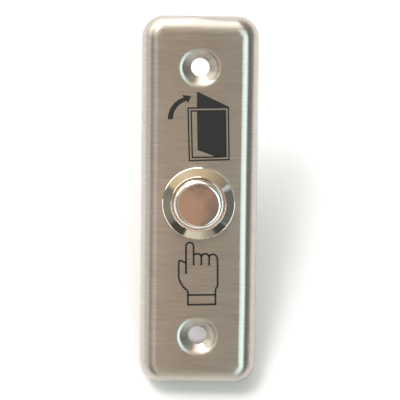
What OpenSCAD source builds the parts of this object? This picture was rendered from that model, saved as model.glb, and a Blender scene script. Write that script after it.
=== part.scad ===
// Door exit button: a narrow pressed steel plate with a round metal push switch.
// X runs across the plate, Z up along it, and the wall is the plane Y = 0.
// The face looks towards -Y, and the button's axis is the Y axis.

/* [Faceplate] */
// Height of the plate
plate_h = 92; // [84:1:120]
// Width of the plate
plate_w = 29; // [28:0.5:40]
// Depth of the plate, from its face to its rear rim
plate_d = 6; // [5.5:0.25:7]
// Thickness of the sheet
sheet_t = 1; // [0.8:0.1:1.2]
// Corner radius of the plate, seen from the front
corner_r = 5.5; // [5:0.25:8]
// Radius of the rounded front edge
edge_r = 4.2; // [2.5:0.1:4.8]

/* [Screw dimples] */
// Distance between the two screw holes
hole_spacing = 67; // [56:1:72]
// Diameter of the screw holes
hole_d = 4.6; // [4:0.1:5]
// Diameter where each dimple starts to fall away from the face
dimple_d = 10.6; // [9.8:0.1:11.4]
// Slope of the dimple's cone
dimple_angle = 38; // [30:1:44]
// Radius of the roll from the face into the cone
dimple_roll = 2.4; // [1.6:0.1:2.8]

/* [Button housing] */
// Diameter of the polished head
head_d = 18; // [17.6:0.1:20]
// Height of the head above the plate, at its inner lip
head_h = 1.9; // [1.6:0.1:2.4]
// Height of the head's thin outer edge
head_edge_h = 0.9; // [0.8:0.05:1.1]
// Diameter where the cone ends at the head's inner lip
lip_d = 13.7; // [13.6:0.1:14.4]
// Diameter of the plain shank that sits in the plate
shank_d = 16; // [15.8:0.1:16.4]
// Pitch diameter of the barrel's thread
thread_d = 15.4; // [15.3:0.05:15.6]
// Diameter of the relief behind the shank
relief_d = 14.9; // [14.8:0.05:15.1]
// Width of the relief behind the shank
relief_w = 0.6; // [0.4:0.1:0.8]
// Wall left behind the snap ring's groove
barrel_end_l = 0.8; // [0.6:0.1:1.2]
// Diameter of the bore that holds the contact mouldings
block_bore_d = 14.1; // [14:0.05:14.3]
// Diameter of the bore that guides the cap's skirt
skirt_bore_d = 13.5; // [13.4:0.05:13.7]

/* [Push cap] */
// Diameter of the cap's visible head
cap_d = 12.3; // [11.8:0.1:12.5]
// Height of the cap above the head's lip
cap_proud = 1.5; // [1.2:0.1:2]
// Radius of the cap's rounded rim
cap_rim_r = 1.1; // [0.5:0.1:1.2]
// Depth of the lip that holds the cap's skirt in
lip_depth = 2.4; // [2:0.1:2.8]
// Thickness of the cap's front wall
cap_web = 1.4; // [1:0.1:1.6]
// Length of the cap's skirt
skirt_l = 3.5; // [3.2:0.05:4]
// Inner diameter of the cap's skirt
skirt_inner_d = 10.6; // [10.2:0.1:10.8]
// How far the button travels
travel = 2; // [1.6:0.1:2.2]

/* [Seals and fixings] */
// Section of the ring that seals the cap
cap_ring_section = 0.84; // [0.8:0.02:0.9]
// Section of the ring under the head
head_ring_section = 0.56; // [0.5:0.02:0.6]
// Width across the flats of the nut
nut_af = 19; // [18:0.5:22]
// Thickness of the nut
nut_t = 3; // [2.4:0.1:3.6]
// Outer diameter of the lock washer
washer_d = 20; // [19:0.5:22]
// Thickness of the lock washer
washer_t = 0.8; // [0.6:0.1:1]
// Number of teeth on the lock washer
washer_teeth = 12; // [8:1:14]
// Thickness of the snap ring in the barrel's end
snap_ring_t = 0.8; // [0.6:0.1:1]
// Depth of the snap ring's groove
snap_groove_depth = 0.3; // [0.2:0.05:0.35]

/* [Plunger and springs] */
// Thickness of the plunger's head
plunger_head_t = 1.2; // [1:0.1:1.6]
// Diameter of the plunger's stem
stem_d = 4; // [3.6:0.1:4.4]
// Diameter of the pin that carries the contact bridge
pin_d = 2.4; // [2.2:0.1:2.6]
// Wire of the return spring
return_wire = 0.6; // [0.5:0.05:0.7]
// Outer diameter of the return spring
return_spring_d = 9; // [8.6:0.1:9.4]
// Open turns of the return spring
return_turns = 3; // [2:1:4]
// Wire of the contact spring
contact_wire = 0.3; // [0.25:0.01:0.35]
// Outer diameter of the contact spring
contact_spring_d = 3.6; // [3.4:0.05:3.8]
// Length of the contact spring at rest
contact_spring_l = 3.2; // [3:0.1:3.6]
// Open turns of the contact spring
contact_turns = 3; // [2:1:4]
// Length of the plunger's pin behind its clip
pin_end_l = 0.8; // [0.6:0.1:1]
// Thickness of the clip on the pin
clip_t = 0.4; // [0.3:0.05:0.5]
// Outer diameter of the clip on the pin
clip_d = 3.8; // [3.4:0.1:3.9]

/* [Contacts] */
// Thickness of the contact bridge
bridge_t = 0.4; // [0.3:0.05:0.5]
// Length of the contact bridge
bridge_l = 9.6; // [9.2:0.1:10]
// Width of the contact bridge
bridge_w = 3.2; // [2.8:0.1:3.6]
// Distance of each contact from the axis
contact_x = 3.6; // [3.5:0.05:3.7]
// Diameter of a contact's face
contact_d = 2; // [1.8:0.1:2]
// Thickness of a contact's face
contact_t = 0.5; // [0.4:0.05:0.6]
// Diameter of a contact's rivet
rivet_d = 1; // [0.8:0.1:1.2]
// Open gap between the moving and the fixed contacts
contact_gap = 1.62; // [1.4:0.02:1.7]

/* [Mouldings] */
// Depth of the contact housing's front face to the back of its guide
guide_l = 3.6; // [3.2:0.1:4]
// Depth of the pocket that seats the return spring
pocket_depth = 1.1; // [0.8:0.1:1.4]
// Height of the guide boss in front of the contact housing
boss_h = 1.6; // [1:0.1:2]
// Diameter of the guide boss
boss_d = 5.8; // [5.4:0.1:6.4]
// Space between the guide and the plunger's shoulder
shoulder_gap = 0.6; // [0.4:0.1:0.8]
// Thickness of the terminal base's flange
flange_t = 1.2; // [1:0.1:1.6]
// Diameter of the terminal base behind its flange
base_d = 12.6; // [12.4:0.1:12.8]
// Length of the terminal base behind its flange
base_l = 4.8; // [4.6:0.1:5.6]
// Diameter of the two dowels that locate the terminal base
dowel_d = 1.2; // [1:0.1:1.4]
// Distance of each dowel from the axis
dowel_z = 4.9; // [4.6:0.1:5.2]
// Height of each dowel
dowel_h = 1.2; // [0.8:0.1:1.6]
// Height of the rib between the two terminals
rib_h = 2.6; // [2:0.1:3.4]
// Width of the rib between the two terminals
rib_w = 9.6; // [8:0.2:10.4]
// Thickness of the rib between the two terminals
rib_t = 1; // [0.8:0.1:1.2]

/* [Terminals] */
// Thickness of the terminal strip
strip_t = 0.6; // [0.5:0.05:0.7]
// Width of the terminal strip
strip_w = 4; // [3.6:0.1:4.2]
// Inner radius of the strip's bends
strip_bend = 0.3; // [0.2:0.05:0.5]
// Distance from the axis to the outside of each terminal's leg
leg_x = 5.6; // [5.5:0.05:5.7]
// Distance of each terminal screw from the axis
screw_x = 3.4; // [3.3:0.05:3.5]
// Diameter of the terminal screws
screw_d = 2.5; // [2:0.1:2.6]
// Length of the terminal screws under their heads
screw_l = 4; // [3:0.5:4.5]
// Diameter of a terminal screw's head
screw_head_d = 4.4; // [4:0.1:4.6]
// Height of a terminal screw's head
screw_head_h = 1.7; // [1.4:0.1:2]
// Side of the square clamp washers
clamp_side = 4.4; // [4:0.1:4.6]
// Thickness of the clamp washers
clamp_t = 0.6; // [0.4:0.05:0.8]

/* [Small features] */
// Bevel on the barrel, the base and the screws' ends
bevel = 0.3; // [0.2:0.05:0.4]
// Bevel on the finest edges
fine_bevel = 0.12; // [0.08:0.02:0.15]
// Bevel on the nut's corners
nut_bevel = 0.5; // [0.3:0.1:0.8]
// Radius of the head's outer edge
head_edge_round = 0.2; // [0.1:0.05:0.25]
// Distance from the skirt's front to the cap ring's groove
cap_groove_inset = 0.9; // [0.6:0.1:1.1]
// Room for the cap's ring to spread in its groove
groove_room = 0.3; // [0.2:0.05:0.4]
// Length of the lock washer's teeth
tooth_l = 1.2; // [0.8:0.1:1.6]
// Height of a rivet's closed tail
tail_t = 0.25; // [0.2:0.05:0.3]
// How far a rivet's tail stands out round its shank
tail_w = 0.25; // [0.2:0.05:0.35]
// Height of the boss that centres the return spring on the plunger
spring_boss_h = 0.8; // [0.6:0.1:1]
// Width of the clip's prongs
prong_w = 0.7; // [0.5:0.1:0.9]
// Width of the clip's ring
clip_ring_w = 0.5; // [0.4:0.05:0.55]
// Depth of the clip's groove in the pin
clip_groove_depth = 0.3; // [0.2:0.05:0.4]
// Opening of the clip
clip_opening = 1.8; // [1.6:0.1:2]
// Opening of the snap ring
snap_ring_opening = 3; // [2:0.5:5]
// Width of a terminal screw's slot
screw_slot_w = 0.6; // [0.4:0.1:0.8]
// Depth of a terminal screw's slot
screw_slot_depth = 0.7; // [0.5:0.1:0.9]

/* [Clearances] */
// Gap round the shank in the plate's hole
shank_gap = 0.1; // [0.05:0.05:0.2]
// Gap between a guided piece and its bore
run_gap = 0.05; // [0.03:0.01:0.08]
// Gap round a piece that is dropped into its seat
seat_gap = 0.05; // [0.03:0.01:0.1]
// Room round a spring's seat and the end of the plunger's pin
boss_room = 0.3; // [0.2:0.05:0.4]
// Free gap left at the end of a travel
stop_gap = 0.05; // [0.03:0.01:0.1]
// Gap round the cap's head in the lip
lip_gap = 0.25; // [0.2:0.01:0.3]
// Gap round a piece that passes another without touching it
free_gap = 0.1; // [0.05:0.05:0.2]

/* [Hidden] */
steel = [0.62, 0.58, 0.53];
bright = [0.78, 0.77, 0.74];
rubber = [0.12, 0.12, 0.13];
moulding = [0.16, 0.16, 0.17];
brass = [0.80, 0.64, 0.33];
silver = [0.86, 0.86, 0.84];
spring_steel = [0.66, 0.67, 0.69];
round_fn = 96;
eps = 0.01;
overlap = 0.2;
// Places along the button's axis, from the cap's front to the terminal screws
face_y = -plate_d;
sheet_y = face_y + sheet_t;
nut_y = sheet_y + washer_t;
lip_y = face_y - head_h;
step_y = lip_y + lip_depth;
cap_y = lip_y - cap_proud;
plunger_y = cap_y + cap_web;
plunger_back_y = plunger_y + plunger_head_t;
skirt_y = step_y + skirt_l;
block_y = skirt_y + travel + stop_gap;
pocket_y = block_y + pocket_depth;
guide_y = block_y + guide_l;
shoulder_y = guide_y + shoulder_gap;
bridge_y = shoulder_y + contact_spring_l;
clip_y = bridge_y + bridge_t;
pin_end_y = clip_y + clip_t + pin_end_l;
fixed_y = clip_y + contact_t + contact_gap;
tongue_y = fixed_y + contact_t;
base_y = tongue_y + strip_t;
ring_y = base_y + flange_t;
lug_y = ring_y + base_l;
clamp_y = lug_y + strip_t;
screw_y = clamp_y + clamp_t;
groove_w = snap_ring_t + seat_gap;
barrel_y = ring_y + groove_w + barrel_end_l;
// Radii that mating pieces share
shank_r = shank_d / 2;
thread_r = thread_d / 2;
block_bore_r = block_bore_d / 2;
block_r = block_bore_r - seat_gap;
skirt_bore_r = skirt_bore_d / 2;
lip_bore_r = cap_d / 2 + lip_gap;
skirt_r = skirt_bore_r - run_gap;
skirt_inner_r = skirt_inner_d / 2;
cap_ring_r = skirt_bore_r - 3 * eps - cap_ring_section / 2;
cap_groove_r = cap_ring_r - cap_ring_section / 2 - eps;
cap_groove_w = cap_ring_section + groove_room;
cap_groove_y = step_y + cap_groove_inset;
head_ring_r = (shank_r + head_d / 2) / 2;
// The edge's roll leaves the lock washer a flat seat on the sheet
roll_r = min(edge_r, (plate_w - washer_d) / 2);
stem_r = stem_d / 2;
pin_r = pin_d / 2;
clip_groove_r = pin_r - clip_groove_depth;
snap_groove_r = block_bore_r + snap_groove_depth;
base_r = base_d / 2;
slot_half_l = leg_x + free_gap;
slot_half_w = strip_w / 2 + free_gap;
lug_in_x = 2 * screw_x - leg_x;

// Stands an outline drawn in X and Z on the plane at y, and gives it a depth
module slab(y, depth) {
  translate([0, y + depth, 0]) rotate([90, 0, 0]) linear_extrude(depth) children();
}

// Turns a half section about the button's axis; its points are [radius, y]
module turned() {
  rotate([-90, 0, 0]) rotate_extrude($fn = round_fn) children();
}

// A round bar along the button's axis
module bar(y, length, r, fn = 48) {
  translate([0, y, 0]) rotate([-90, 0, 0]) cylinder(h = length, r = r, $fn = fn);
}

// Places a child at both screw, contact or dowel positions
module pair_x(x) {
  for (side = [-1, 1]) translate([side * x, 0, 0]) children();
}

module pair_z(z) {
  for (side = [-1, 1]) translate([0, 0, side * z]) children();
}

// A strip's quarter bend about the origin, from +X round to +Y
module bend(r_in, r_out) {
  intersection() {
    difference() {
      circle(r = r_out, $fn = 48);
      circle(r = r_in, $fn = 48);
    }
    square(r_out + 1);
  }
}

// Half section of the plate's edge, from the flat face at x = 0 out to the rim:
// x runs outwards, y from the face to the wall
module edge_section() {
  out = corner_r;
  roll_x = out - roll_r;
  union() {
    square([roll_x, sheet_t]);
    translate([roll_x, roll_r]) mirror([0, 1]) bend(roll_r - sheet_t, roll_r);
    translate([out - sheet_t, roll_r]) square([sheet_t, plate_d - roll_r]);
  }
}

// A straight run of the plate's edge; it faces -Y, and its rim is at +X
module edge_run(length) {
  translate([0, face_y, -length / 2]) linear_extrude(length) edge_section();
}

// A corner of the plate's edge, in the quarter of +X and +Z
module edge_corner() {
  translate([0, face_y, 0]) rotate([-90, 0, 0]) rotate([0, 0, -90])
    rotate_extrude(angle = 90, $fn = round_fn) edge_section();
}

// Section of the sheet through a dimple, from the hole out to the flat face:
// x is the distance from the hole's axis, y the depth behind the face
module dimple_section() {
  start = dimple_d / 2;
  steps = 12;
  front = roll_points(start, dimple_roll, dimple_roll, dimple_angle, steps);
  back = roll_points(start, dimple_roll, dimple_roll - sheet_t, dimple_angle, steps);
  polygon(concat(
    [[start + overlap, 0]], front, [cone_end(front[steps])], [cone_end(back[steps])],
    [for (i = [steps:-1:0]) back[i]], [[start + overlap, sheet_t]]
  ));
}

// Points of a roll about [x, y], from the flat towards the hole
function roll_points(x, y, r, angle, steps) = [
  for (i = [0:steps]) let (a = i * angle / steps) [x - r * sin(a), y - r * cos(a)]
];

// Where the dimple's cone, run on from a point, meets the wall of the hole
function cone_end(point) = [
  hole_d / 2, point[1] + (point[0] - hole_d / 2) * tan(dimple_angle)
];

module faceplate() {
  flat_w = plate_w - 2 * corner_r;
  flat_h = plate_h - 2 * corner_r;
  color(steel) difference() {
    union() {
      difference() {
        slab(face_y, sheet_t) square([flat_w, flat_h], center = true);
        pair_z(hole_spacing / 2) bar(face_y - 1, sheet_t + 2, dimple_d / 2, round_fn);
      }
      for (side = [0, 180]) {
        rotate([0, side, 0]) translate([flat_w / 2, 0, 0]) edge_run(flat_h);
        rotate([0, side + 90, 0]) translate([flat_h / 2, 0, 0]) edge_run(flat_w);
      }
      for (x = [0, 1], z = [0, 1]) mirror([x, 0, 0]) mirror([0, 0, z])
        translate([flat_w / 2, 0, flat_h / 2]) edge_corner();
      pair_z(hole_spacing / 2) translate([0, face_y, 0]) turned() dimple_section();
    }
    bar(face_y - 1, sheet_t + 2, shank_r + shank_gap, round_fn);
  }
}

// The head, its lip and the barrel are one turned piece
module button_housing() {
  head_r = head_d / 2;
  lip_r = lip_d / 2;
  edge_y = face_y - head_edge_h;
  ring_half = head_ring_section / 2 + 2 * eps;
  color(bright) turned() difference() {
    polygon([
      [lip_bore_r, step_y], [lip_bore_r, lip_y + fine_bevel],
      [lip_bore_r + fine_bevel, lip_y], [lip_r - fine_bevel, lip_y],
      [lip_r, lip_y + fine_bevel], [head_r - head_edge_round, edge_y],
      [head_r, edge_y + head_edge_round], [head_r, face_y], [shank_r, face_y],
      [shank_r, sheet_y - eps], [relief_d / 2, sheet_y - eps],
      [relief_d / 2, sheet_y + relief_w], [thread_r, sheet_y + relief_w + bevel],
      [thread_r, barrel_y - bevel], [thread_r - bevel, barrel_y],
      [block_bore_r, barrel_y], [block_bore_r, block_y], [skirt_bore_r, block_y],
      [skirt_bore_r, step_y]
    ]);
    translate([head_ring_r - ring_half, face_y - head_ring_section - eps])
      square([2 * ring_half, head_ring_section + eps]);
    translate([block_bore_r - 1, ring_y])
      square([snap_groove_r - block_bore_r + 1, groove_w]);
  }
}

module head_seal() {
  color(rubber) turned()
    translate([head_ring_r, face_y - head_ring_section / 2 - eps / 2])
    circle(d = head_ring_section, $fn = 32);
}

// Teeth on the inside bite the plate and the nut; tightened, they lie flat
module lock_washer() {
  tooth_r = thread_r + free_gap;
  ring_in = tooth_r + tooth_l;
  tooth_w = PI * tooth_r / washer_teeth;
  color(spring_steel) slab(sheet_y, washer_t) {
    difference() {
      circle(d = washer_d, $fn = round_fn);
      circle(r = ring_in, $fn = round_fn);
    }
    for (i = [0:washer_teeth - 1]) rotate(i * 360 / washer_teeth)
      translate([tooth_r, -tooth_w / 2]) square([tooth_l + overlap, tooth_w]);
  }
}

module mounting_nut() {
  across_corners = nut_af / cos(30);
  color(bright) difference() {
    intersection() {
      bar(nut_y, nut_t, across_corners / 2, 6);
      turned() polygon([
        [0, nut_y], [nut_af / 2, nut_y], [across_corners / 2, nut_y + nut_bevel],
        [across_corners / 2, nut_y + nut_t - nut_bevel], [nut_af / 2, nut_y + nut_t],
        [0, nut_y + nut_t]
      ]);
    }
    bar(nut_y - 1, nut_t + 2, thread_r + run_gap, round_fn);
  }
}

// The head shows, and the skirt behind it is trapped by the housing's lip
module push_cap() {
  cap_r = cap_d / 2;
  color(bright) turned() difference() {
    union() {
      translate([0, cap_y]) square([cap_r - cap_rim_r, cap_rim_r]);
      intersection() {
        translate([cap_r - cap_rim_r, cap_y + cap_rim_r]) circle(r = cap_rim_r, $fn = 64);
        translate([cap_r - cap_rim_r, cap_y]) square(cap_rim_r);
      }
      translate([0, cap_y + cap_rim_r]) square([cap_r, step_y - cap_y - cap_rim_r]);
      translate([0, step_y]) square([skirt_r, skirt_l]);
    }
    translate([-1, plunger_y]) square([skirt_inner_r + 1, skirt_y - plunger_y + 1]);
    translate([cap_groove_r, cap_groove_y]) square([skirt_r, cap_groove_w]);
  }
}

module cap_seal() {
  color(rubber) turned() translate([cap_ring_r, cap_groove_y + cap_groove_w / 2])
    circle(d = cap_ring_section, $fn = 32);
}

// Head under the cap, stem through the guide, and a pin for the bridge
module plunger() {
  spring_boss_r = return_spring_d / 2 - return_wire - boss_room;
  boss_y = plunger_back_y + spring_boss_h;
  color(moulding) turned() difference() {
    polygon([
      [0, plunger_y], [skirt_inner_r - eps, plunger_y],
      [skirt_inner_r - eps, plunger_back_y], [spring_boss_r, plunger_back_y],
      [spring_boss_r, boss_y - bevel], [spring_boss_r - bevel, boss_y],
      [stem_r, boss_y], [stem_r, shoulder_y], [pin_r, shoulder_y],
      [pin_r, pin_end_y - bevel], [pin_r - bevel, pin_end_y], [0, pin_end_y]
    ]);
    translate([clip_groove_r, clip_y]) square([pin_r, clip_t + 2 * eps]);
  }
}

// Height of a spring's centre line, as a share of its turns t: closed end turns
// at both ends, open turns between them
function coil_rise(t, open, wire, span) =
  let (closed = wire + 0.02, pitch = (span - 2 * closed) / open)
  t < 1 ? closed * t :
  t > open + 1 ? span - closed * (open + 2 - t) : closed + pitch * (t - 1);

// Points of one ring of the wire, round the centre line at t turns
function wire_ring(t, open, wire, mean_r, span, sides) = [
  for (k = [0:sides - 1])
    let (a = 360 * t, b = 360 * (k + 0.5) / sides, r = mean_r + wire / 2 * cos(b))
    [r * cos(a), coil_rise(t, open, wire, span) + wire / 2 * sin(b), r * sin(a)]
];

// A compression spring about the button's axis, from y over its length
module coil(y, length, outer_d, wire, open, steps, sides) {
  turns = open + 2;
  rings = turns * steps;
  mean_r = (outer_d - wire) / 2;
  points = [
    for (i = [0:rings]) each
      wire_ring(i / steps, open, wire, mean_r, length - wire, sides)
  ];
  walls = [
    for (i = [0:rings - 1], k = [0:sides - 1])
      let (a = i * sides + k, b = i * sides + (k + 1) % sides)
      [a, b, b + sides, a + sides]
  ];
  ends = [
    [for (k = [sides - 1:-1:0]) k],
    [for (k = [0:sides - 1]) rings * sides + k]
  ];
  translate([0, y + wire / 2, 0])
    polyhedron(points = points, faces = concat(walls, ends), convexity = 8);
}

module return_spring() {
  color(spring_steel) coil(plunger_back_y, pocket_y - plunger_back_y,
    return_spring_d, return_wire, return_turns, 24, 8);
}

module contact_spring() {
  color(spring_steel) coil(shoulder_y, contact_spring_l,
    contact_spring_d, contact_wire, contact_turns, 20, 6);
}

// Front moulding: a spring pocket and a guide, and a slot for the bridge behind
module contact_housing() {
  pocket_r = return_spring_d / 2 + boss_room;
  color(moulding) difference() {
    union() {
      turned() polygon([
        [0, block_y], [block_r - fine_bevel, block_y], [block_r, block_y + fine_bevel],
        [block_r, base_y], [0, base_y]
      ]);
      bar(block_y - boss_h, boss_h + 1, boss_d / 2);
    }
    difference() {
      bar(block_y - 1, pocket_depth + 1, pocket_r);
      bar(block_y - boss_h - 1, boss_h + pocket_depth + 2, boss_d / 2);
    }
    bar(block_y - boss_h - 1, boss_h + guide_l + 2, stem_r + run_gap);
    slab(guide_y, base_y - guide_y + 1)
      square([2 * slot_half_l, 2 * slot_half_w], center = true);
    pair_z(dowel_z)
      bar(base_y - dowel_h - free_gap, dowel_h + 1, dowel_d / 2 + seat_gap);
  }
}

// Strip with round ends that joins the two fixed contacts
module contact_bridge() {
  straight = bridge_l - bridge_w;
  color(brass) slab(bridge_y, bridge_t) difference() {
    union() {
      square([straight, bridge_w], center = true);
      for (side = [-1, 1]) translate([side * straight / 2, 0])
        circle(d = bridge_w, $fn = 48);
    }
    circle(r = pin_r + free_gap, $fn = 48);
    for (side = [-1, 1]) translate([side * contact_x, 0]) circle(d = rivet_d, $fn = 32);
  }
}

// A contact rivet: its face at y, its shank through a strip, its tail behind.
// way is 1 where the tail lies at +Y of the face, and -1 where it lies at -Y
module contact_rivet(y, strip, way) {
  length = contact_t + strip + tail_t;
  translate([0, y, 0]) mirror([0, way < 0 ? 1 : 0, 0]) turned() polygon([
    [0, 0], [contact_d / 2 - fine_bevel, 0], [contact_d / 2, fine_bevel],
    [contact_d / 2, contact_t], [rivet_d / 2, contact_t],
    [rivet_d / 2, contact_t + strip], [rivet_d / 2 + tail_w, contact_t + strip],
    [rivet_d / 2 + tail_w / 2, length], [0, length]
  ]);
}

module moving_contacts() {
  color(silver) pair_x(contact_x) contact_rivet(clip_y + contact_t, bridge_t, -1);
}

module fixed_contacts() {
  color(silver) pair_x(contact_x) contact_rivet(fixed_y, strip_t, 1);
}

// Clip in the pin's groove: three inner prongs, and an open side to push it on
module plunger_clip() {
  prong_in = clip_groove_r + eps;
  ring_in = clip_d / 2 - clip_ring_w;
  color(spring_steel) slab(clip_y + eps, clip_t) difference() {
    union() {
      difference() {
        circle(d = clip_d, $fn = 48);
        circle(r = ring_in, $fn = 48);
      }
      for (a = [0, 90, 180]) rotate(a) translate([prong_in, -prong_w / 2])
        square([ring_in - prong_in + overlap, prong_w]);
    }
    translate([-clip_opening / 2, -clip_d]) square([clip_opening, clip_d]);
  }
}

// A strip wrapped round the terminal base: a tongue in front, a leg, and a lug behind
module terminal() {
  outer = strip_bend + strip_t;
  tongue_in_x = contact_x - contact_d / 2;
  front_y = tongue_y;
  back_y = lug_y + strip_t;
  difference() {
    translate([0, 0, -strip_w / 2]) linear_extrude(strip_w) union() {
      translate([tongue_in_x, front_y]) square([leg_x - outer - tongue_in_x, strip_t]);
      translate([leg_x - outer, front_y + outer]) mirror([0, 1]) bend(strip_bend, outer);
      translate([leg_x - strip_t, front_y + outer])
        square([strip_t, back_y - front_y - 2 * outer]);
      translate([leg_x - outer, back_y - outer]) bend(strip_bend, outer);
      translate([lug_in_x, lug_y]) square([leg_x - outer - lug_in_x, strip_t]);
    }
    translate([contact_x, 0, 0]) bar(front_y - 1, strip_t + 2, rivet_d / 2, 32);
    translate([screw_x, 0, 0]) bar(lug_y - 1, strip_t + 2, screw_d / 2 + run_gap, 32);
  }
}

module terminal_common() {
  color(brass) mirror([1, 0, 0]) terminal();
}

module terminal_open() {
  color(brass) terminal();
}

// Rear moulding: flange, two notches for the terminals' legs, and the rib
module terminal_base() {
  rivet_r = rivet_d / 2 + tail_w + free_gap;
  notch_x = leg_x - strip_t - eps;
  bevel_x = notch_x - strip_bend;
  color(moulding) difference() {
    union() {
      turned() polygon([
        [0, base_y], [block_r, base_y], [block_r, ring_y], [base_r, ring_y],
        [base_r, lug_y - bevel], [base_r - bevel, lug_y], [0, lug_y]
      ]);
      pair_z(dowel_z) bar(base_y - dowel_h, dowel_h + 0.5, dowel_d / 2);
      slab(lug_y - 0.5, rib_h + 0.5) square([rib_t, rib_w], center = true);
    }
    for (side = [0, 1]) mirror([side, 0, 0]) translate([0, 0, -slot_half_w])
      linear_extrude(2 * slot_half_w) polygon([
        [bevel_x, base_y - 1], [bevel_x, base_y], [notch_x, base_y + strip_bend],
        [notch_x, lug_y - strip_bend], [bevel_x, lug_y], [bevel_x, lug_y + 1],
        [block_r + 1, lug_y + 1], [block_r + 1, base_y - 1]
      ]);
    pair_x(contact_x) bar(base_y - 1, 1 + tail_t + free_gap, rivet_r, 32);
    pair_x(screw_x) bar(lug_y - screw_l + strip_t, screw_l + 2, screw_d / 2 + free_gap, 32);
    bar(base_y - 1, 2, pin_r + boss_room);
  }
}

module terminal_screws() {
  head_r = screw_head_d / 2;
  color(bright) pair_x(screw_x) difference() {
    turned() polygon([
      [0, screw_y - screw_l], [screw_d / 2 - bevel, screw_y - screw_l],
      [screw_d / 2, screw_y - screw_l + bevel], [screw_d / 2, screw_y],
      [head_r, screw_y], [head_r, screw_y + 0.6 * screw_head_h],
      [head_r - 0.2 * screw_head_h, screw_y + 0.85 * screw_head_h],
      [head_r - 0.5 * screw_head_h, screw_y + screw_head_h],
      [0, screw_y + screw_head_h]
    ]);
    translate([-head_r - 1, screw_y + screw_head_h - screw_slot_depth, -screw_slot_w / 2])
      cube([screw_head_d + 2, screw_slot_depth + 1, screw_slot_w]);
  }
}

module clamp_washers() {
  color(spring_steel) pair_x(screw_x) slab(clamp_y, clamp_t) difference() {
    square(clamp_side, center = true);
    circle(r = screw_d / 2 + free_gap, $fn = 32);
  }
}

// Open snap ring behind the terminal base's flange
module retaining_ring() {
  ring_out = snap_groove_r - seat_gap;
  ring_in = base_r + free_gap;
  color(spring_steel) slab(ring_y, snap_ring_t) difference() {
    circle(r = ring_out, $fn = round_fn);
    circle(r = ring_in, $fn = round_fn);
    translate([-snap_ring_opening / 2, 0]) square([snap_ring_opening, ring_out + 1]);
  }
}

faceplate();
button_housing();
head_seal();
lock_washer();
mounting_nut();
push_cap();
cap_seal();
plunger();
return_spring();
contact_housing();
contact_spring();
contact_bridge();
moving_contacts();
plunger_clip();
fixed_contacts();
terminal_common();
terminal_open();
terminal_base();
terminal_screws();
clamp_washers();
retaining_ring();
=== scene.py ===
"""Dresses the door exit button.

Mesh points and the camera's aim are in mm. Lights, the stage and bump heights are in metres.
"""
import math

import bpy  # noqa: E402
import bmesh  # noqa: E402
from mathutils import Matrix, Vector  # noqa: E402


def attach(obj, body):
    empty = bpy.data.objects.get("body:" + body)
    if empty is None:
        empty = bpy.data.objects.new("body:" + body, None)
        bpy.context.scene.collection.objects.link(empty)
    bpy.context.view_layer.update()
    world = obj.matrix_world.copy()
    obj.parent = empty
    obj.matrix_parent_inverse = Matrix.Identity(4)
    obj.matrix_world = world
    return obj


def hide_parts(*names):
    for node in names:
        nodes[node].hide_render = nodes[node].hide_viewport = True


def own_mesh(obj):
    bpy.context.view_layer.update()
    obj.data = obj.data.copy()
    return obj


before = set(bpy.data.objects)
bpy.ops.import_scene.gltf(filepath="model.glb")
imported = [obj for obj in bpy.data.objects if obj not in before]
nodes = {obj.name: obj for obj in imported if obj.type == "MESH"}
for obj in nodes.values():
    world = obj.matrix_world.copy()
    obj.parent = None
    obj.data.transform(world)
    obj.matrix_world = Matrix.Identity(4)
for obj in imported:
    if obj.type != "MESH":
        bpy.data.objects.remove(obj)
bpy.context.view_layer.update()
scene = bpy.context.scene
MM = 0.001


# Shader nodes

def set_inputs(tree, node, inputs):
    """Set each input to a constant, or link it where a socket is given."""
    for key, value in inputs.items():
        if isinstance(value, bpy.types.NodeSocket):
            tree.links.new(value, node.inputs[key])
        else:
            node.inputs[key].default_value = value


def add_node(tree, kind, inputs, **settings):
    node = tree.nodes.new(kind)
    for key, value in settings.items():
        setattr(node, key, value)
    set_inputs(tree, node, inputs)
    return node


def opaque(color):
    """A colour constant with its alpha; a socket stays as it is."""
    return (*color, 1) if isinstance(color, tuple) else color


def mix_color(tree, factor, a, b):
    """Colour a where the factor is 0, and b where it is 1."""
    inputs = {"Factor": factor, "A": opaque(a), "B": opaque(b)}
    return add_node(tree, "ShaderNodeMix", inputs, data_type="RGBA").outputs["Result"]


def set_shader(material, inputs):
    tree = material.node_tree
    set_inputs(tree, tree.nodes["Principled BSDF"], inputs)


def new_material(name, color, metallic, rough):
    material = bpy.data.materials.new(name)
    material.use_nodes = True
    set_shader(material, {"Base Color": opaque(color), "Metallic": metallic, "Roughness": rough})
    return material


def object_place(tree):
    return add_node(tree, "ShaderNodeTexCoord", {}).outputs["Object"]


def stretched_noise(tree, scale, stretch, detail):
    """Noise per metre of the object, drawn out along the axes with a small stretch."""
    inputs = {"Vector": object_place(tree), "Scale": stretch}
    place = add_node(tree, "ShaderNodeMapping", inputs).outputs["Vector"]
    inputs = {"Vector": place, "Scale": scale, "Detail": detail}
    return add_node(tree, "ShaderNodeTexNoise", inputs).outputs["Fac"]


def to_range(tree, noise, low, high):
    """The noise's middle range, spread from low to high."""
    inputs = {"Value": noise, "From Min": 0.3, "From Max": 0.7, "To Min": low, "To Max": high}
    return add_node(tree, "ShaderNodeMapRange", inputs).outputs["Result"]


def crown(tree, rise_x, rise_z):
    """Height of a very slight crown, or of a hollow where a rise is negative."""
    place = object_place(tree)
    inputs = {0: place, 1: (-rise_x, 0, -rise_z)}
    scaled = add_node(tree, "ShaderNodeVectorMath", inputs, operation="MULTIPLY")
    inputs = {0: scaled.outputs["Vector"], 1: place}
    return add_node(tree, "ShaderNodeVectorMath", inputs, operation="DOT_PRODUCT").outputs["Value"]


def add_scaled(tree, source, factor, other):
    inputs = {0: source, 1: factor, 2: other}
    return add_node(tree, "ShaderNodeMath", inputs, operation="MULTIPLY_ADD").outputs["Value"]


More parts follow.
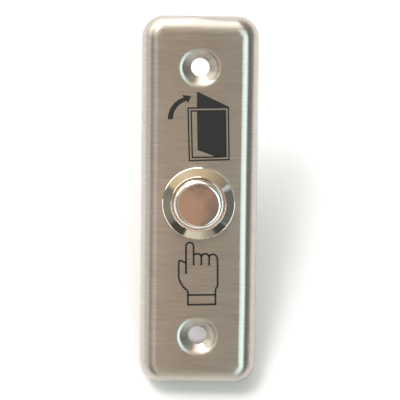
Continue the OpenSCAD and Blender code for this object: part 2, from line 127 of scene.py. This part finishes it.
def bump(tree, height):
    """Normal from a height in metres."""
    inputs = {"Height": height, "Strength": 1.0, "Distance": 1.0}
    return add_node(tree, "ShaderNodeBump", inputs).outputs["Normal"]


# Materials

# Colour, metallic and roughness of each finish that the solids name
FINISHES = {
    "plate_steel": ((0.58, 0.54, 0.488), 1.0, 0.34),
    "polished_steel": ((0.925, 0.888, 0.813), 1.0, 0.035),
    "cap_steel": ((0.875, 0.85, 0.806), 1.0, 0.2),
    "nut_metal": ((0.70, 0.68, 0.63), 1.0, 0.28),
    "spring_steel": ((0.58, 0.58, 0.57), 1.0, 0.25),
    "screw_steel": ((0.68, 0.67, 0.64), 1.0, 0.3),
    "contact_brass": ((0.66, 0.50, 0.22), 1.0, 0.3),
    "contact_silver": ((0.83, 0.82, 0.79), 1.0, 0.25),
    "moulding_dark": ((0.022, 0.022, 0.024), 0.0, 0.45),
    "moulding_light": ((0.60, 0.57, 0.50), 0.0, 0.5),
    "seal_rubber": ((0.018, 0.018, 0.019), 0.0, 0.6),
}
EVEN = (1, 1, 1)

finish_of = {name: new_material(name + "_look", *look) for name, look in FINISHES.items()}

# Brushed plate: the grain runs across it, along X
tree = finish_of["plate_steel"].node_tree
grain = stretched_noise(tree, 3600, (0.042, 0.1, 1.0), 4.0)
grain_tint = to_range(tree, grain, 0, 1)
waves = stretched_noise(tree, 42, EVEN, 1.0)
height = add_scaled(tree, waves, 5e-4, crown(tree, 1.5, -0.4))
set_shader(finish_of["plate_steel"], {
    "Base Color": mix_color(tree, grain_tint, (0.526, 0.488, 0.441), (0.632, 0.588, 0.532)),
    "Roughness": to_range(tree, grain, 0.31, 0.36),
    "Normal": bump(tree, add_scaled(tree, grain, 5e-6, height)),
    "Anisotropic": 0.8,
    "Anisotropic Rotation": 0.25,
})

# Cap: smooth, a little fogged and uneven
tree = finish_of["cap_steel"].node_tree
fog = stretched_noise(tree, 700, EVEN, 2.0)
blotch = stretched_noise(tree, 230, EVEN, 1.5)
set_shader(finish_of["cap_steel"], {
    "Roughness": to_range(tree, fog, 0.10, 0.14),
    "Normal": bump(tree, add_scaled(tree, blotch, 6e-5, crown(tree, 5.0, 5.0))),
})

print_ink = new_material("print_ink", (0.027, 0.027, 0.028), 0.0, 0.5)
set_shader(print_ink, {"Specular IOR Level": 0.25})

for solid in nodes.values():
    for slot in solid.material_slots:
        slot.material = finish_of[slot.material.name.split(".")[0]]


def add_mesh(name, verts, faces, material, body, shade_smooth=False):
    mesh = bpy.data.meshes.new(name)
    mesh.from_pydata([Vector(v) * MM for v in verts], [], faces)
    mesh.validate()
    bm = bmesh.new()
    bm.from_mesh(mesh)
    bmesh.ops.recalc_face_normals(bm, faces=bm.faces)
    bm.to_mesh(mesh)
    bm.free()
    mesh.materials.append(material)
    if shade_smooth:
        mesh.shade_smooth()
    piece = bpy.data.objects.new(name, mesh)
    scene.collection.objects.link(piece)
    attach(piece, body)
    return piece


# Camera

FACE_Y = -6.0  # front of the plate
IMAGE_PX = 400
SENSOR = 36


def facing(az, el):
    """Unit vector; azimuth from the front (-Y) towards +X, elevation upwards, in degrees."""
    a, e = math.radians(az), math.radians(el)
    return (math.sin(a) * math.cos(e), -math.cos(a) * math.cos(e), math.sin(e))


def aim(distance, az, el, roll, focal_px, target_x, target_z):
    """Camera that looks at a point of the plate's front."""
    back = Vector(facing(az, el))
    data = bpy.data.cameras.new("camera")
    data.sensor_width = SENSOR
    data.lens = focal_px * SENSOR / IMAGE_PX
    data.clip_start, data.clip_end = 0.01, 20
    camera = bpy.data.objects.new("camera", data)
    scene.collection.objects.link(camera)
    camera.rotation_mode = "QUATERNION"
    turn = Matrix.Rotation(math.radians(-roll), 4, "Z").to_quaternion()
    camera.rotation_quaternion = (-back).to_track_quat("-Z", "Y") @ turn
    camera.location = Vector((target_x, FACE_Y, target_z)) * MM + back * distance * MM
    scene.camera = camera


# From a fit to the photograph's outlines
aim(486.4, 0.771, 7.416, -0.652, 1967.2, 0.328, 0.831)


# Surroundings: graded light and dark, which the bare metal mirrors

world = bpy.data.worlds.new("world")
scene.world = world
world.use_nodes = True
sky_tree = world.node_tree
direction = add_node(sky_tree, "ShaderNodeTexCoord", {}).outputs["Generated"]


def sky_math(operation, *values):
    inputs = dict(enumerate(values))
    return add_node(sky_tree, "ShaderNodeMath", inputs, operation=operation).outputs["Value"]


axes = add_node(sky_tree, "ShaderNodeSeparateXYZ", {"Vector": direction}).outputs
towards_front = sky_math("MULTIPLY", axes["Y"], -1.0)
azimuth = sky_math("DEGREES", sky_math("ARCTAN2", axes["X"], towards_front))
elevation = sky_math("DEGREES", sky_math("ARCSINE", axes["Z"]))
depression = sky_math("MULTIPLY", elevation, -1.0)

RAMP_SCALE = 4  # a colour ramp ends at 1, so light is divided by this and scaled back


def band(stops):
    """Light round the compass: (azimuth, red, green, blue), azimuth rising."""
    inputs = {"Value": azimuth, "From Min": -180, "From Max": 180}
    share = add_node(sky_tree, "ShaderNodeMapRange", inputs).outputs["Result"]
    ramp = add_node(sky_tree, "ShaderNodeValToRGB", {"Fac": share})
    elements = ramp.color_ramp.elements
    while len(elements) < len(stops):
        elements.new(0.5)
    for element, (az, *light) in zip(elements, stops):
        element.position = (az + 180) / 360
        element.color = (*[value / RAMP_SCALE for value in light], 1)
    inputs = {0: ramp.outputs["Color"], "Scale": RAMP_SCALE}
    return add_node(sky_tree, "ShaderNodeVectorMath", inputs, operation="SCALE").outputs["Vector"]


def step_at(value, low, high):
    """A smooth step from 0 at low to 1 at high."""
    inputs = {"Value": value, "From Min": low, "From Max": high}
    node = add_node(sky_tree, "ShaderNodeMapRange", inputs, interpolation_type="SMOOTHSTEP")
    return node.outputs["Result"]


def near(az, el, inner, outer):
    """1 within inner degrees of a direction, 0 beyond outer."""
    inputs = {0: direction, 1: facing(az, el)}
    node = add_node(sky_tree, "ShaderNodeVectorMath", inputs, operation="DOT_PRODUCT")
    away = sky_math("DEGREES", sky_math("ARCCOSINE", node.outputs["Value"]))
    return step_at(away, outer, inner)


# Level with the camera; the band from 11 to 44 degrees gives the strip on the right-hand roll
level = band([
    (-180, 1.25, 1.27, 1.32), (-150, 1.5, 1.58, 1.7), (-108, 1.42, 1.46, 1.5),
    (-99, .62, .58, .52), (-90, .36, .28, .18), (-83, .44, .42, .34),
    (-76, .96, .93, .80), (-64, .92, .90, .76), (-53, .36, .355, .30),
    (-48, .25, .245, .20), (-42, .25, .245, .20), (-34, .30, .295, .24),
    (-25, .44, .43, .36), (-16, .82, .77, .66), (-9, .95, .84, .70),
    (-4, .64, .53, .43), (-1, .41, .345, .29), (2, .21, .188, .16),
    (8, .16, .155, .138), (11, 1.8, 2.3, 2.3), (15, 2.3, 3.0, 3.0),
    (40, 2.3, 3.0, 3.05), (44.5, .18, .185, .17), (56, .17, .175, .165),
    (66, .26, .26, .24), (80, .30, .30, .28), (94, .70, .72, .73),
    (118, 1.3, 1.37, 1.48), (150, 1.4, 1.48, 1.6), (180, 1.25, 1.27, 1.32),
])
low = band([
    (-180, .6, .6, .6), (-110, .40, .40, .37), (-78, .15, .15, .135),
    (-48, .085, .08, .07), (-31, .085, .08, .07), (-27, .86, .82, .67),
    (3, .80, .75, .60), (12, .58, .52, .41), (29, .36, .33, .28),
    (33, .085, .085, .08), (56, .07, .075, .075), (78, .12, .14, .13),
    (110, .5, .5, .48), (180, .6, .6, .6),
])
high = band([
    (-180, .9, .9, .9), (-95, 1.6, 1.55, 1.45), (-82, 2.8, 2.75, 2.6),
    (-62, 2.8, 2.7, 2.5), (-52, 1.3, 1.15, .90), (-42, .78, .66, .43),
    (-28, .92, .77, .54), (-10, .80, .66, .46), (10, .72, .58, .40),
    (30, .50, .40, .28), (42, .30, .27, .20), (60, .32, .31, .27),
    (84, .40, .40, .36), (100, .7, .7, .66), (180, .9, .9, .9),
])
top = band([
    (-180, 2.0, 2.0, 2.0), (-90, 2.8, 2.8, 2.7), (-40, 3.4, 3.3, 3.15),
    (22, 3.4, 3.3, 3.15), (45, .6, .5, .38), (90, .55, .52, .46),
    (150, 1.4, 1.4, 1.4), (180, 2.0, 2.0, 2.0),
])
around = mix_color(sky_tree, step_at(elevation, -38, -29), low, level)
around = mix_color(sky_tree, step_at(elevation, 12, 20), around, high)
around = mix_color(sky_tree, step_at(elevation, 44, 53), around, top)
around = mix_color(sky_tree, step_at(depression, 62, 80), around, (.66, .70, .77))

# Azimuth, elevation, inner and outer reach in degrees, and light
PATCHES = [
    (-2, -9, 11, 15, (.60, .362, .248)),  # warm, mirrored by the cap and the plate
    (9, -10, 4, 10, (.25, .172, .138)),  # darker at its right
    (0, 3, 4, 9, (.20, .155, .14)),  # darker at its top
    (6, -18, 4, 9, (.15, .135, .125)),  # darker below
    (-34, 48, 7.5, 13, (19.0, 19.0, 18.9)),  # the light that throws the shadow
]
for *patch, light in PATCHES:
    around = mix_color(sky_tree, near(*patch), around, light)

# What is seen directly is one plain pale tone
PALE = (1.05, 1.05, 1.05)
direct = add_node(sky_tree, "ShaderNodeLightPath", {}).outputs["Is Camera Ray"]
set_inputs(sky_tree, sky_tree.nodes["Background"], {
    "Color": mix_color(sky_tree, direct, around, PALE),
    "Strength": 0.8,
})


# Stage: the pale surface that the plate's lower edge and the rear of the switch rest on

HALF_SIZE_M = 1.2
LEAN = math.atan2(21.3, 46.0)

pale = new_material("surface", (0.93, 0.915, 0.955), 0.0, 0.9)
tree = pale.node_tree
# See-through from its rear side, so that the part can be seen from behind
see_through = add_node(tree, "ShaderNodeBsdfTransparent", {})
shown = add_node(tree, "ShaderNodeMixShader", {
    "Fac": add_node(tree, "ShaderNodeNewGeometry", {}).outputs["Backfacing"],
    1: tree.nodes["Principled BSDF"].outputs["BSDF"],
    2: see_through.outputs["BSDF"],
})
set_inputs(tree, tree.nodes["Material Output"], {"Surface": shown.outputs["Shader"]})

mesh = bpy.data.meshes.new("surface")
corners = [(-1, -1), (1, -1), (1, 1), (-1, 1)]
mesh.from_pydata([(HALF_SIZE_M * x, 0, HALF_SIZE_M * z) for x, z in corners], [], [(0, 1, 2, 3)])
mesh.materials.append(pale)
surface = bpy.data.objects.new("surface", mesh)
scene.collection.objects.link(surface)
surface.rotation_euler = (-LEAN, 0, 0)
surface.location = (0, 0.00025, -0.046)

# Light on the surface behind the lower screw hole
spot = bpy.data.lights.new("hole_light", "SPOT")
spot.energy = 0.00058
spot.spot_size, spot.spot_blend = math.radians(70), 0.6
spot.shadow_soft_size = 0.0005
spot_at = bpy.data.objects.new("hole_light", spot)
scene.collection.objects.link(spot_at)
spot_at.location = (0, -0.0015, -0.0335)
spot_at.rotation_euler = (math.radians(90), 0, 0)

scene.view_settings.view_transform = "Standard"


# Signs printed on the plate

INK_FRONT, INK_BACK = FACE_Y - 0.012, FACE_Y + 0.02
INK_W = 0.48
MITRE_LIMIT = 0.35


def prism(verts, faces, outline):
    """A thin closed slab of ink; the outline is a list of (x, z)."""
    n, k = len(outline), len(verts)
    verts += [(x, y, z) for y in (INK_FRONT, INK_BACK) for x, z in outline]
    faces += [list(range(k, k + n)), list(range(k + 2 * n - 1, k + n - 1, -1))]
    faces += [(k + i, k + (i + 1) % n, k + n + (i + 1) % n, k + n + i) for i in range(n)]


def ring(verts, faces, outline, inner):
    """The slab between two outlines with as many corners."""
    for i in range(len(outline)):
        j = (i + 1) % len(outline)
        prism(verts, faces, [outline[i], outline[j], inner[j], inner[i]])


def strip(verts, faces, left, right):
    """The slab between two open curves with as many points."""
    for i in range(len(left) - 1):
        prism(verts, faces, [left[i], left[i + 1], right[i + 1], right[i]])


def line(verts, faces, points):
    """A line of ink along points, mitred at its corners."""
    points = [Vector(p) for p in points]
    headings = [(b - a).normalized() for a, b in zip(points, points[1:])]
    left, right = [], []
    for p, before, after in zip(points, [headings[0], *headings], [*headings, headings[-1]]):
        side = Vector((-before.y - after.y, before.x + after.x)).normalized()
        reach = INK_W / 2 / max(MITRE_LIMIT, side.dot(Vector((-before.y, before.x))))
        left.append(tuple(p + side * reach))
        right.append(tuple(p - side * reach))
    strip(verts, faces, left, right)


def on_circle(center, radius, angle):
    return (center[0] + radius * math.cos(angle), center[1] + radius * math.sin(angle))


def smooth(points, steps=6):
    """Points of a smooth curve through the given ones."""
    curve = []
    points = [points[0], *points, points[-1]]
    for i in range(1, len(points) - 2):
        p0, p1, p2, p3 = (Vector(p) for p in points[i - 1:i + 3])
        for k in range(steps):
            t = k / steps
            curve.append(tuple(0.5 * (
                2 * p1 + (p2 - p0) * t + (2 * p0 - 5 * p1 + 4 * p2 - p3) * t * t
                + (3 * p1 - p0 - 3 * p2 + p3) * t ** 3
            )))
    return [*curve, tuple(points[-1])]


def inset(outline, distance):
    """A four-cornered outline, clockwise from the top left, moved inwards."""
    moved = []
    n = len(outline)
    for i in range(n):
        a, b, c = (Vector(outline[(i + k) % n]) for k in (-1, 0, 1))
        d1, d2 = (b - a).normalized(), (c - b).normalized()
        n1, n2 = Vector((d1.y, -d1.x)), Vector((d2.y, -d2.x))
        mean = (n1 + n2).normalized()
        moved.append(tuple(b + mean * distance / mean.dot(n1)))
    return moved


# An open door in its frame, with an arrow
v, f = [], []
door_frame = [(-3.05, 23.76), (7.22, 24.01), (7.56, 10.8), (-2.57, 10.39)]
ring(v, f, door_frame, inset(door_frame, 0.38))
ring(v, f, inset(door_frame, 0.74), inset(door_frame, 1.11))
prism(v, f, [(-0.71, 27.71), (7.22, 24.0), (-0.69, 23.80)])
prism(v, f, [(-0.68, 22.75), (6.20, 22.9), (6.50, 11.80), (4.15, 11.62), (-0.42, 13.25)])
arrow_outer = [
    (-7.84, 20.74), (-7.74, 21.81), (-7.43, 22.94), (-6.88, 23.97), (-6.09, 24.93),
    (-5.10, 25.68), (-3.99, 26.19),
]
arrow_inner = [
    (-6.59, 20.76), (-6.44, 21.82), (-6.08, 22.91), (-5.42, 23.88), (-4.50, 24.72),
    (-3.90, 25.08), (-3.29, 25.34),
]
strip(v, f, smooth(arrow_outer), smooth(arrow_inner))
prism(v, f, [(-4.34, 26.80), (-2.10, 26.53), (-2.79, 24.87), arrow_inner[-1], arrow_outer[-1]])
add_mesh("sign_door", v, f, print_ink, "plate")

# A hand that points up at the button
v, f = [], []
FINGER_TIP, FINGER_R, TIP_STEPS = (-2.08, -10.77), 0.93, 14
finger_tip = [
    on_circle(FINGER_TIP, FINGER_R, math.pi * (1 - k / TIP_STEPS)) for k in range(TIP_STEPS + 1)
]
thumb = [
    (-2.96, -15.02), (-3.66, -14.66), (-4.34, -14.47), (-4.64, -14.58), (-4.77, -14.95),
    (-4.78, -16.6), (-4.74, -18.40), (-4.55, -19.28), (-4.08, -20.30), (-3.52, -21.08),
    (-2.88, -21.64), (-2.54, -22.05), (-2.41, -22.57),
]
second_knuckle = [
    (-1.12, -12.93), (-0.67, -12.72), (-0.14, -12.63), (0.40, -12.77), (0.82, -13.19),
]
third_knuckle = [
    (0.82, -13.19), (1.23, -12.75), (1.76, -12.60), (2.29, -12.74), (2.75, -13.18),
]
little_finger = [
    (2.75, -13.20), (3.13, -12.86), (3.72, -12.70), (4.36, -12.98), (4.73, -13.60),
    (4.84, -14.34), (4.90, -17.4), (4.94, -20.30), (4.83, -20.86), (4.53, -21.33),
    (4.42, -21.87),
]
strokes = [
    [*smooth(thumb), (-2.38, -25.50)],
    [(-2.94, -17.51), *finger_tip, (-1.06, -15.38)],
    smooth(second_knuckle),
    smooth(third_knuckle),
    [*smooth(little_finger), (4.47, -25.33)],
    [(0.82, -13.19), (0.84, -15.35)],
    [(2.75, -13.16), (2.78, -15.33)],
    [(-2.40, -23.05), (4.50, -22.87)],
    [(-2.60, -25.50), (4.69, -25.32)],
]
for stroke in strokes:
    line(v, f, stroke)
# Round ends
line_ends = [
    (-2.94, -17.51), (-1.06, -15.38), (0.84, -15.35), (2.78, -15.33), (0.82, -13.19),
    (2.75, -13.18),
]
for end in line_ends:
    prism(v, f, [on_circle(end, INK_W / 2, k * math.pi / 8) for k in range(16)])
add_mesh("sign_hand", v, f, print_ink, "plate")


# The barrel's thread

PITCH, ROOT_R, CREST_R = 1.0, 7.66, 7.97
THREAD_Y, THREAD_L, THREAD_SIDES = -1.0, 13.9, 72
START_H = 0.05  # height of the crest where the thread runs out
FADE = THREAD_SIDES * 0.5  # half a turn at each end

v, f = [], []
count = int((THREAD_L - PITCH) / PITCH * THREAD_SIDES)
for i in range(count + 1):
    angle = 2 * math.pi * i / THREAD_SIDES
    y = THREAD_Y + PITCH * i / THREAD_SIDES
    fade = min(1.0, i / FADE, (count - i) / FADE)
    crest = ROOT_R + START_H + (CREST_R - ROOT_R - START_H) * fade
    for r, share in ((ROOT_R, 0.04), (crest, 0.40), (crest, 0.56), (ROOT_R, 0.92)):
        v.append((r * math.cos(angle), y + share * PITCH, r * math.sin(angle)))
for i in range(count):
    for k in range(4):
        a, b = 4 * i + k, 4 * i + (k + 1) % 4
        f.append((a, b, b + 4, a + 4))
f += [(0, 1, 2, 3), tuple(4 * count + k for k in (3, 2, 1, 0))]
add_mesh("barrel_thread", v, f, finish_of["polished_steel"], "plate")


# Springs: coils with closed ends

STEPS, SIDES = 48, 14
OPEN_TURNS = 3
TURNS = OPEN_TURNS + 2
COIL_GAP = 0.02  # between the turns at a closed end


def spring(name, y0, y1, mean_r, wire, body, node):
    """Wire coil from y0 to y1, with closed turns at both ends."""
    closed = wire + COIL_GAP
    span = y1 - y0 - wire
    pitch = (span - 2 * closed) / OPEN_TURNS
    v = []
    for i in range(TURNS * STEPS + 1):
        t = i / STEPS
        if t < 1:
            rise = closed * t
        elif t > OPEN_TURNS + 1:
            rise = span - closed * (TURNS - t)
        else:
            rise = closed + pitch * (t - 1)
        a = 2 * math.pi * t
        for k in range(SIDES):
            b = 2 * math.pi * k / SIDES
            r = mean_r + wire / 2 * math.cos(b)
            y = y0 + wire / 2 + rise + wire / 2 * math.sin(b)
            v.append((r * math.cos(a), y, r * math.sin(a)))
    last = TURNS * STEPS * SIDES
    f = []
    for i in range(0, last, SIDES):
        for k in range(SIDES):
            j = (k + 1) % SIDES
            f.append((i + k, i + j, i + SIDES + j, i + SIDES + k))
    f += [tuple(range(SIDES)), tuple(last + k for k in reversed(range(SIDES)))]
    coil = add_mesh(name, v, f, finish_of["spring_steel"], body, True)
    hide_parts(node)
    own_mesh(coil)


spring("return_spring_wire", -6.8, 1.15, 4.2, 0.6, "plate", "return_spring")
spring("contact_spring_wire", 4.25, 7.45, 1.65, 0.3, "button", "contact_spring")
